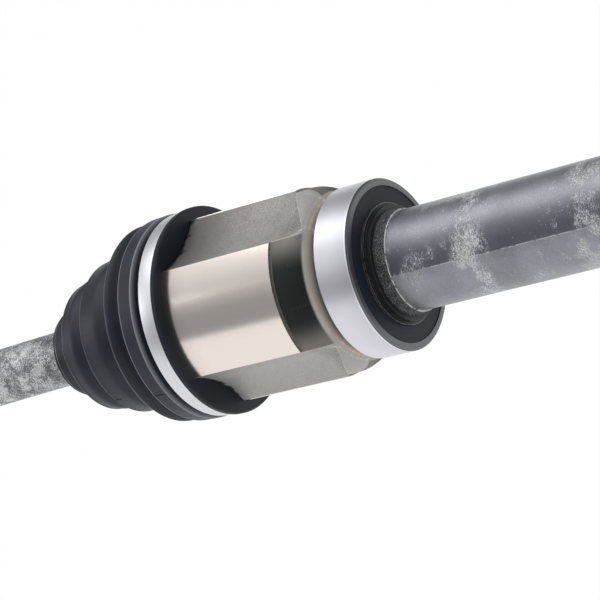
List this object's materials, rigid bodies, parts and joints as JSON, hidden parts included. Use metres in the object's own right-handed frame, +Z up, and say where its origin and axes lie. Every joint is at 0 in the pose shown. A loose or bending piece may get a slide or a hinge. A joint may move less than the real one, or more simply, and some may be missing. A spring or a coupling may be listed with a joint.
{
  "type": "cv axle shaft",
  "caption": "Passenger-side car drive shaft: stemmed tripod housing on a support bearing, rubber boots, half shaft, and a ball joint with a splined stub axle and hub nut.",
  "frame": {"origin": "centre of the support bearing, on the stem's axis", "axes": "+X along the stem towards the gearbox, +Z up, +Y across the car; the wheel end lies along -X and droops by 2.3 degrees"},
  "size_m": [0.915, 0.0996, 0.1121],
  "materials": {
    "ring_steel": "satin",
    "seal_rubber": "matt",
    "cage_polymer": "matt",
    "ball_steel": "polished",
    "black_oxide": "blackened",
    "forged_steel": "as forged",
    "adapter_rubber": "matt",
    "boot_rubber": "matt",
    "clamp_steel": "satin",
    "ground_steel": "ground",
    "spring_steel": "oiled",
    "bar_steel": "scuffed",
    "zinc_steel": "zinc plated"
  },
  "bodies": {
    "support_bearing": {"bearing_outer_ring": "ring_steel", "bearing_stem_seal": "seal_rubber", "bearing_joint_seal": "seal_rubber"},
    "ball_carrier": {"bearing_cage": "cage_polymer", "bearing_balls": "ball_steel"},
    "housing": {"tulip_housing": "forged_steel", "bearing_inner_ring": "ring_steel", "retaining_collar": "black_oxide", "lock_ring": "forged_steel", "stem_circlip": "spring_steel", "trilobe_adapter": "adapter_rubber", "inner_boot_cuff": "boot_rubber", "inner_large_clamp": "clamp_steel"},
    "plunge_carrier": {"inner_boot_fold_a": "boot_rubber"},
    "tilt_carrier": {"inner_boot_fold_b": "boot_rubber"},
    "bar": {"half_shaft": "bar_steel", "tripod_spider": "ground_steel", "spider_circlip": "spring_steel", "roller_retainers": "spring_steel", "inner_boot_fold_c": "boot_rubber", "inner_small_clamp": "black_oxide", "cv_inner_race": "ground_steel", "race_circlip": "spring_steel", "outer_boot_neck": "boot_rubber", "outer_small_clamp": "clamp_steel"},
    "roller_one": {"tripod_roller_1": "ground_steel", "roller_needles_1": "ball_steel"},
    "roller_two": {"tripod_roller_2": "ground_steel", "roller_needles_2": "ball_steel"},
    "roller_three": {"tripod_roller_3": "ground_steel", "roller_needles_3": "ball_steel"},
    "steer_carrier_in": {"outer_boot_fold_a": "boot_rubber"},
    "joint_cage": {"cv_ball_cage": "black_oxide", "cv_balls": "ball_steel", "outer_boot_fold_b": "boot_rubber"},
    "steer_carrier_out": {"outer_boot_fold_c": "boot_rubber"},
    "stub": {"wheel_stub": "forged_steel", "outer_boot_fold_d": "boot_rubber", "outer_boot_cuff": "boot_rubber", "outer_large_clamp": "clamp_steel", "hub_washer": "zinc_steel", "hub_nut": "zinc_steel"}
  },
  "joints": [
    {"name": "shaft_spin", "type": "hinge", "parent": "support_bearing", "child": "housing", "pos_m": [0, 0, 0], "axis": [1, 0, 0], "continuous": true},
    {"name": "bearing_cage_spin", "type": "hinge", "parent": "support_bearing", "child": "ball_carrier", "pos_m": [0, 0, 0], "axis": [1, 0, 0], "continuous": true},
    {"name": "inner_plunge", "type": "slide", "parent": "housing", "child": "plunge_carrier", "axis": [1, 0, 0], "range_m": [-0.012, 0.008], "deforming": ["inner_boot_fold_a"]},
    {"name": "inner_tilt_vertical", "type": "hinge", "parent": "plunge_carrier", "child": "tilt_carrier", "pos_m": [-0.063, 0, 0], "axis": [0.0001, 1, 0], "range_deg": [-12.5, 17], "deforming": ["inner_boot_fold_b"]},
    {"name": "inner_tilt_sideways", "type": "hinge", "parent": "tilt_carrier", "child": "bar", "pos_m": [-0.063, 0, 0], "axis": [-0.0401, 0, 0.9992], "range_deg": [-6, 6], "deforming": ["inner_boot_fold_c"]},
    {"name": "roller_one_spin", "type": "hinge", "parent": "bar", "child": "roller_one", "pos_m": [-0.063, 0, 0], "axis": [-0.0201, 0.866, 0.4996], "continuous": true},
    {"name": "roller_two_spin", "type": "hinge", "parent": "bar", "child": "roller_two", "pos_m": [-0.063, 0, 0], "axis": [-0.0201, -0.866, 0.4996], "continuous": true},
    {"name": "roller_three_spin", "type": "hinge", "parent": "bar", "child": "roller_three", "pos_m": [-0.063, 0, 0], "axis": [0.0401, 0, -0.9992], "continuous": true},
    {"name": "outer_steer_in", "type": "hinge", "parent": "bar", "child": "steer_carrier_in", "pos_m": [-0.46268, 0, -0.01605], "axis": [-0.0401, 0, 0.9992], "range_deg": [-20, 20], "deforming": ["outer_boot_fold_a"]},
    {"name": "outer_bounce_in", "type": "hinge", "parent": "steer_carrier_in", "child": "joint_cage", "pos_m": [-0.46268, 0, -0.01605], "axis": [0.0001, 1, 0], "range_deg": [-4, 4], "deforming": ["outer_boot_fold_b"]},
    {"name": "outer_bounce_out", "type": "hinge", "parent": "joint_cage", "child": "steer_carrier_out", "pos_m": [-0.46268, 0, -0.01605], "axis": [0.0001, 1, 0], "range_deg": [-4, 4], "deforming": ["outer_boot_fold_c"]},
    {"name": "outer_steer_out", "type": "hinge", "parent": "steer_carrier_out", "child": "stub", "pos_m": [-0.46268, 0, -0.01605], "axis": [-0.0401, 0, 0.9992], "range_deg": [-20, 20], "deforming": ["outer_boot_fold_d"]}
  ],
  "couplings": [
    {"joint": "bearing_cage_spin", "follows": "shaft_spin", "ratio": 0.4275},
    {"joint": "outer_bounce_out", "follows": "outer_bounce_in", "ratio": 1},
    {"joint": "outer_steer_out", "follows": "outer_steer_in", "ratio": 1}
  ]
}
